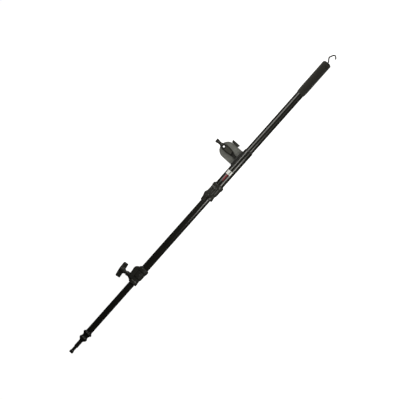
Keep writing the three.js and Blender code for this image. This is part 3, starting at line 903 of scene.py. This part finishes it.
def sleeve_tube():
    tube = ring(start_of("sleeve_tube"), end_of("sleeve_tube"), SLEEVE_R, SLEEVE_R - WALL)
    tube = cut(tube, *[fixing_hole(x) for x in PLATE_SCREWS])
    finished("sleeve_tube_drawn", tube, "pivot_bracket", "black_tube", "sleeve_tube")
    end = end_of("sleeve_tube")
    outer, bore = SLEEVE_R - WALL - GAP, MAIN_R + GAP
    lip = lathe(rounded([
        (end - 22, bore, 0.2), (end - 22, outer, 0.4), (end + GAP, outer, 0.1), (end + GAP, outer + 1.2, 0.2),
        (end + 3.5, outer + 0.6, 0.9), (end + 3.5, bore, 0.4),
    ], closed=True), 128)
    finished("sleeve_rear_bush_lip", lip, "pivot_bracket", "nylon", "sleeve_rear_bush")


def label(node, first, last, band, films):
    """Film bent round the sleeve between two angles from +Y towards +Z, with a band of another colour:
    printed on the dark label, painted shade on the white one.
    """
    start, end = start_of(node), end_of(node)
    inner, outer, corner_r = SLEEVE_R + 0.05, SLEEVE_R + 0.22, 1.6
    across, along = 64, 28
    half, middle = (end - start) / 2, (start + end) / 2
    arc_half = math.radians(last - first) / 2 * SLEEVE_R
    low_angle, high_angle, low_share, high_share, slant = band
    front = max(1, round(low_share * along))
    bm = bmesh.new()
    sheets = []
    for radius in (inner, outer):
        rows = []
        for i in range(across + 1):
            s = arc_half * (2 * i / across - 1)
            over_edge = max(0.0, abs(s) - (arc_half - corner_r))
            reach = half - corner_r + math.sqrt(max(corner_r ** 2 - over_edge ** 2, 0.0))
            a = math.radians((first + last) / 2) + s / SLEEVE_R
            below = min(max(high_angle - math.degrees(a), 0.0) / (high_angle - low_angle), 1.0)
            edge = low_share + slant * below
            shares = [edge * k / front for k in range(front)]
            shares += [edge + (1 - edge) * k / (along - front) for k in range(along - front + 1)]
            rows.append([
                bm.verts.new((middle + reach * (2 * share - 1), radius * math.cos(a), radius * math.sin(a)))
                for share in shares
            ])
        sheets.append(rows)
    for rows in sheets:
        for i in range(across):
            angle = first + (last - first) * (i + 0.5) / across
            for k in range(along):
                face = bm.faces.new((rows[i][k], rows[i + 1][k], rows[i + 1][k + 1], rows[i][k + 1]))
                inside = low_angle < angle < high_angle and front <= k < high_share * along - 0.5
                face.material_index = 1 if inside else 0
    rim = lambda rows: rows[0] + [r[-1] for r in rows[1:-1]] + rows[-1][::-1] + [r[0] for r in rows[-2:0:-1]]
    skin(bm, rim(sheets[0]), rim(sheets[1]))
    return piece(node + "_film", mesh_from(bm), "pivot_bracket", films, [node], 50)


def labels():
    label("dark_label", 40, 114, (66, 88, 0.06, 0.97, 0.3), [FINISHES["dark_label"], RED_FILM])
    # The white label's grey band is painted shade between the two lamp reflections.
    label("white_label", 40, 114, (83, 97, 0.12, 0.88, 0), [FINISHES["white_label"], SHADE_BAND_FILM])


# ---- pivot bracket ---------------------------------------------------------------------------
def saddle():
    """Cast saddle on the sleeve with a short post that follows the arm's round foot."""
    low, high = start_of("pivot_saddle"), end_of("pivot_saddle")
    top = 20.15  # 0.15 mm under the plate's foot, so that no light shows between them
    half = 17.9
    section = rounded([
        (10, 10.7, 0.4), (half, 10.7, 0.6), (half, 19.2, 0.6), (half - 0.8, top, 0.6), (0.8 - half, top, 0.6),
        (-half, 19.2, 0.6), (-half, 10.7, 0.6), (-10, 10.7, 0.4), (-10, 2, 0), (10, 2, 0),
    ], closed=True)
    shape = prism([(x, y) for x, y in section][::-1], 0, high - low, 1.2)
    long = moved(shape, shift(low), turn(90, "Y") @ turn(180, "Z") @ Matrix.Diagonal((1, -1, 1, 1)))
    post = prism(rounded([
        (3.2, top - 2), (3.1, 31, 3), (5, 38, 3), (9.6, 44, 2), (9.6, 50),
        (-9.8, 50), (-9.8, 44, 2), (-7.3, 32, 4), (-7.3, top - 2),
    ], closed=True), PLATE_RIM + GAP + 0.2, half - 2.2, 1.6)
    body = cast([long, moved(post, shift(PIVOT_X))], 0.5, 4)
    sweep = moved(rod(0, 40, 19.5, 0, 128), shift(PIVOT_X, PIVOT_Y), ABOUT_Z)
    made = cut(
        body,
        rod(PIVOT_X - 60, PIVOT_X + 60, SLEEVE_R + GAP, 0, 128),
        sweep,
        *[fixing_hole(x) for x in PLATE_SCREWS],
    )
    # The saddle and its post take the darker copy of the powder coat: painted shade under the plate and the
    # arm.
    piece("pivot_saddle_casting", made, "pivot_bracket", SHADED_CASTING, ["pivot_saddle"])


def d_outline(half, foot, corner_r, steps=48):
    """The plate's outline: straight foot and sides, round top, anticlockwise."""
    arc = [(PIVOT_X + half * math.cos(math.pi * k / steps), PIVOT_Y + half * math.sin(math.pi * k / steps))
           for k in range(steps + 1)]
    foot_points = rounded([
        arc[-1], (PIVOT_X - half, foot, corner_r), (PIVOT_X + half, foot, corner_r), arc[0],
    ])
    return arc + foot_points[1:-1]


def plate_ring(reach, z, corner_r):
    return [(x, y, z) for x, y in d_outline(PLATE_R - reach, PLATE_FOOT - 0.2 + reach, corner_r)]


def pivot_plate():
    """Cast D plate: raised rounded rim, sunk face, lightened back with a rim of its own."""
    steps = [
        (6.2, PLATE_BACK + 1.6, 1.4), (5.2, PLATE_BACK + 1.6, 1.6), (4.3, PLATE_BACK + 1.1, 1.8),
        (3.9, PLATE_BACK + 0.3, 2), (3.4, PLATE_BACK, 2), (1.6, PLATE_BACK, 2.6),
        (0.8, PLATE_BACK + 0.3, 2.8), (0.25, PLATE_BACK + 1, 3), (0, PLATE_BACK + 2, 3),
        (0, PLATE_RIM - 2, 3), (0.25, PLATE_RIM - 1, 3),
        (0.8, PLATE_RIM - 0.3, 2.8), (1.6, PLATE_RIM, 2.6), (3.3, PLATE_RIM, 2), (3.9, PLATE_RIM - 0.3, 2),
        (4.2, PLATE_RIM - 1, 1.9), (4.8, PLATE_RIM - 1.5, 1.7), (5.6, PLATE_RIM - 1.6, 1.5),
        (6.6, PLATE_RIM - 1.6, 1.4),
    ]
    body = loft([plate_ring(*s) for s in steps])
    hole = lambda radius, x, y, low=-30, high=30: moved(rod(low, high, radius, 0, 96), shift(x, y), ABOUT_Z)
    dimple = moved(rod(-2.2, 2.2, 2.4, 1.2), shift(PIVOT_X - 21.4, PIVOT_Y + 5.7, PLATE_RIM - 0.1), ABOUT_Z)
    made = cut(
        body,
        hole(10 + GAP, PIVOT_X, PIVOT_Y),
        hole(4, PIVOT_X, PIVOT_Y + EYE_HEIGHT),
        dimple,
        moved(rod(0, 50, 5 + GAP, 0), shift(PIVOT_X, LOCK_Y)),
        *[fixing_hole(x) for x in PLATE_SCREWS],
    )
    finished("pivot_plate_casting", flattened(made), "pivot_bracket", "grey_casting", "pivot_plate", sharp=28)


def plate_screws():
    for side, x in zip(("front", "rear"), PLATE_SCREWS):
        low = SLEEVE_R - WALL
        screw = lathe(rounded([
            (low + 1.6, 0), (low + 1.6, 2), (low + 0.2, 2, 0.1), (low + 0.2, 5.2, 0.2),
            (SLEEVE_R + 1.6, 3, 0.3), (35, 3, 0.5), (35, 0),
        ]), 48)
        node = "plate_screw_" + side
        placed = moved(screw, shift(PIVOT_X + x), ABOUT_Y)
        finished(node + "_countersunk", placed, "pivot_bracket", "zinc_steel", node)


def tilt_lock():
    """Ribbed round knob, its threaded screw and the brake pad on the pivot shaft."""
    knob_start = start_of("tilt_lock_knob")
    pad_end = end_of("tilt_brake_pad")
    profile = rounded([
        (0, 0), (0, 14.2, 0.6), (0.6, 15.0, 0.6), (5.6, 16.4, 1), (6.6, 17.6, 0.8), (9.2, 17.6, 0.8),
        (10, 16.4, 0.6), (10, 12.6, 0.4), (9.2, 12.0, 0.4), (9.2, 5.2, 0.4), (9.8, 4.8, 0.3), (9.8, 0),
    ], steps=4)

    def ribs(x, r, angle):
        return 0.55 * (abs(math.cos(12 * angle)) - 0.7) if r > 13.6 else 0.0

    knob = lathe([(knob_start + x, r) for x, r in profile], 240, ribs)
    knob = cut(knob, rod(knob_start - 1, knob_start + 7.3, SCREW_R + GAP, 0))
    knob = moved(knob, shift(0, LOCK_Y))
    finished("tilt_lock_knob_ribbed", knob, "tilt_knob", "black_plastic", "tilt_lock_knob")
    screw = thread(pad_end + GAP, knob_start + 7, SCREW_R, 1.25, 0.65)
    finished("tilt_lock_stud", moved(screw, shift(0, LOCK_Y)), "tilt_knob", "zinc_steel", "tilt_lock_screw")
    shaft_space = moved(rod(-20, 20, 10 + GAP, 0, 96), shift(PIVOT_X, PIVOT_Y), ABOUT_Z)
    pad = cut(moved(rod(PIVOT_X + 6, pad_end, 5, 0.4), shift(0, LOCK_Y)), shaft_space)
    finished("tilt_brake_shoe", pad, "tilt_pad", "brass", "tilt_brake_pad")


# ---- stand spigot arm ------------------------------------------------------------------------
def arm_block():
    """The arm's body: round foot, sides that widen to the eye, and a narrower front face."""
    foot = [math.radians(a) for a in range(-31, 32, 2)]
    outline = [*[(19 * math.sin(a), -19 * math.cos(a)) for a in foot],
               (11.7, 0), (12.3, 12), (10.5, 22), (-10.5, 22), (-12.3, 12), (-11.7, 0)]
    levels = [
        (ARM_BACK, 0.97, 0.98), (ARM_BACK + 0.6, 1, 1), (ARM_FRONT - 3.6, 1, 1), (ARM_FRONT, 0.62, 0.83),
    ]
    return loft([[(x * across, y * along, z) for x, y in outline] for z, across, along in levels])


def spigot_arm():
    """Cast arm with an eye, and a waisted 16 mm spigot."""
    eye = lathe(rounded([
        (ARM_BACK, 0), (ARM_BACK, 11.8, 0.6), (ARM_FRONT - 3.4, 11.8, 1),
        (ARM_FRONT - 1.8, 10.2, 0.8), (ARM_FRONT - 1.8, 0),
    ]), 96)
    reach = STUD_TIP - PIVOT_Y
    casting = cast([arm_block(), moved(eye, shift(0, EYE_HEIGHT), ABOUT_Z)], 0.5, 3)
    stud = lathe(rounded([
        (EYE_HEIGHT, 0), (EYE_HEIGHT, SPIGOT_R), (33.6, SPIGOT_R, 0.8), (36.5, WAIST_R, 0.9),
        (reach - 12.5, WAIST_R, 0.9), (reach - 9.7, SPIGOT_R, 0.7), (reach, SPIGOT_R, 1.1),
        (reach, 2, 0.2), (reach - 2.2, 0),
    ]), 96)
    body = combined(casting, [moved(stud, shift(0, 0, ARM_Z), ABOUT_Y)], "UNION")
    mouth = lathe([
        (ARM_FRONT - 6.2, 0), (ARM_FRONT - 6.2, 3.7), (ARM_FRONT + 1, 9.4), (ARM_FRONT + 1, 0),
    ], 96)
    made = cut(
        body,
        moved(rod(0, 40, 3.75, 0, 96), shift(0, EYE_HEIGHT), ABOUT_Z),
        moved(mouth, shift(0, EYE_HEIGHT), ABOUT_Z),
        moved(rod(0, ARM_BACK + 10.3, 6 + GAP, 0, 64), ABOUT_Z),
    )
    made.materials.clear()  # resets each face's material number, so the numbers are set after it
    for face in made.polygons:
        x, y, z = face.center
        # Material 2, the darker copy of the powder coat, is painted shade in the eye's countersink.
        if math.hypot(x, y - EYE_HEIGHT) < 9 and z > ARM_FRONT - 6.4:
            face.material_index = 2
        # Material 1, the lighter copy of the powder coat, is painted light on the flat front face, and also
        # stands for rubbed wear.
        elif face.normal.z > 0.97 and z > ARM_FRONT - 2.2 and y < EYE_HEIGHT:
            face.material_index = 1
    moved(made, shift(PIVOT_X, PIVOT_Y))
    coats = [FINISHES["black_casting"], LIT_RUBBED_CASTING, SHADED_CASTING]
    piece("stand_spigot_arm_casting", made, "stand_arm", coats, ["stand_spigot_arm"])


def pivot_hardware():
    """Shaft, friction washer, plain washer and nut of the pivot."""
    at_pivot = shift(PIVOT_X, PIVOT_Y) @ ABOUT_Z
    low = PLATE_BACK - 11.5
    journal = lathe(rounded([
        (PLATE_BACK - 3, 0), (PLATE_BACK - 3, 5.9), (PLATE_BACK + 0.4, 5.9), (PLATE_BACK + 0.4, 10, 0.4),
        (ARM_BACK - GAP, 10, 0.3), (ARM_BACK - GAP, 6, 0.2), (ARM_BACK + 10, 6, 0.5), (ARM_BACK + 10, 0),
    ]), 96)
    tail = thread(low, PLATE_BACK - 2.5, 5.95, 1.5, 0.7)
    shaft = combined(journal, [tail], "UNION")
    finished("pivot_shaft_turned", moved(shaft, at_pivot), "stand_arm", "zinc_steel", "pivot_shaft")
    friction = ring(PLATE_RIM - 1.6 + GAP, ARM_BACK - GAP, 12.3, 10 + GAP, 0.2, 96)
    finished("friction_washer_ring", moved(friction, at_pivot), "stand_arm", "nylon", "friction_washer")
    washer = ring(PLATE_BACK - 2.3, PLATE_BACK - GAP, 14, 6 + GAP, 0.3, 96)
    finished("pivot_washer_ring", moved(washer, at_pivot), "stand_arm", "zinc_steel", "pivot_washer")
    nut = hex_nut(PLATE_BACK - 10.3, PLATE_BACK - 2.6, 10.9, 6 + GAP)
    finished("pivot_hex_nut", moved(nut, at_pivot), "stand_arm", "zinc_steel", "pivot_nut")


# ---- stage, light and camera -----------------------------------------------------------------
FRAME_WIDTH = 1528.0  # width of the view in millimetres at the pole
VIEW_CENTRE = (764.0, 17.4)
VIEW_ROLL = -48.37
LENS, SENSOR = 250.0, 36.0


def stage_floor():
    """Plain pale floor just under the object."""
    bm = bmesh.new()
    bmesh.ops.create_grid(bm, x_segments=1, y_segments=1, size=30)
    floor = as_object(mesh_from(bm), "floor")
    floor.location.z = CAD_BOX[0].z - 0.0005
    material = bpy.data.materials.new("pale_floor")
    material.use_nodes = True
    shader = next(n for n in material.node_tree.nodes if n.type == "BSDF_PRINCIPLED")
    shader.inputs["Base Color"].default_value = (0.6, 0.6, 0.6, 1)
    shader.inputs["Roughness"].default_value = 1.0
    shader.inputs["Specular IOR Level"].default_value = 0.0
    shader.inputs["Emission Color"].default_value = (1, 1, 1, 1)
    shader.inputs["Emission Strength"].default_value = 0.93
    floor.data.materials.append(material)
    floor.visible_glossy = False


def strip_light(name, station, angle, distance, size, radiance):
    """A soft box beside the pole; the angle is from +Z towards +Y."""
    lamp = bpy.data.lights.new(name, "AREA")
    lamp.shape = "RECTANGLE"
    lamp.size, lamp.size_y = size
    lamp.energy = radiance * math.pi * size[0] * size[1]
    lamp.color = (1, 0.99, 0.93)
    obj = bpy.data.objects.new(name, lamp)
    bpy.context.scene.collection.objects.link(obj)
    a = math.radians(angle)
    foot = POLE @ Vector((station, 0, 0))
    obj.location = foot + Vector((0, math.sin(a), math.cos(a))) * distance
    obj.rotation_euler = (-a, 0, 0)
    obj.visible_camera = False


def studio_world():
    """Pale surroundings to the camera, dim for reflections, soft fill for the rest."""
    world = bpy.data.worlds.new("studio")
    world.use_nodes = True
    nodes, links = world.node_tree.nodes, world.node_tree.links
    background = next(n for n in nodes if n.type == "BACKGROUND")
    path = nodes.new("ShaderNodeLightPath")
    fill = nodes.new("ShaderNodeMix")
    fill.data_type = "RGBA"
    fill.inputs["A"].default_value = (0.1, 0.1, 0.095, 1)
    fill.inputs["B"].default_value = (0.035, 0.035, 0.033, 1)
    links.new(path.outputs["Is Glossy Ray"], fill.inputs["Factor"])
    seen = nodes.new("ShaderNodeMix")
    seen.data_type = "RGBA"
    seen.inputs["B"].default_value = (1, 1, 1, 1)
    links.new(path.outputs["Is Camera Ray"], seen.inputs["Factor"])
    links.new(fill.outputs["Result"], seen.inputs["A"])
    links.new(seen.outputs["Result"], background.inputs["Color"])
    bpy.context.scene.world = world


def camera():
    """Straight down on the pole from far away, turned so that the pole runs up to the right."""
    data = bpy.data.cameras.new("camera")
    data.sensor_width = SENSOR
    data.lens = LENS
    data.clip_end = 200
    obj = bpy.data.objects.new("camera", data)
    bpy.context.scene.collection.objects.link(obj)
    distance = FRAME_WIDTH / 2 / (SENSOR / 2 / LENS)
    obj.location = POLE @ Vector((*VIEW_CENTRE, distance))
    obj.rotation_euler = (0, 0, math.radians(VIEW_ROLL))
    bpy.context.scene.camera = obj


def studio():
    stage_floor()
    strip_light("upper_strip", 1270, 48, 0.8, (0.84, 0.43), 5.5)
    strip_light("lower_strip", 880, -41, 0.8, (0.42, 0.33), 9.2)
    strip_light("rear_fill", 1270, -41, 0.8, (0.5, 0.33), 0.7)
    studio_world()
    camera()
    bpy.context.scene.view_settings.view_transform = "Standard"


# ---- the whole object ------------------------------------------------------------------------
studio()
front_spigot()
front_adapter()
inner_tube()
lock_collar(FRONT_COLLAR)
main_tube()
foam_grip()
end_plug()
hook()
lock_collar(REAR_COLLAR)
sleeve_tube()
labels()
saddle()
pivot_plate()
plate_screws()
tilt_lock()
spigot_arm()
pivot_hardware()
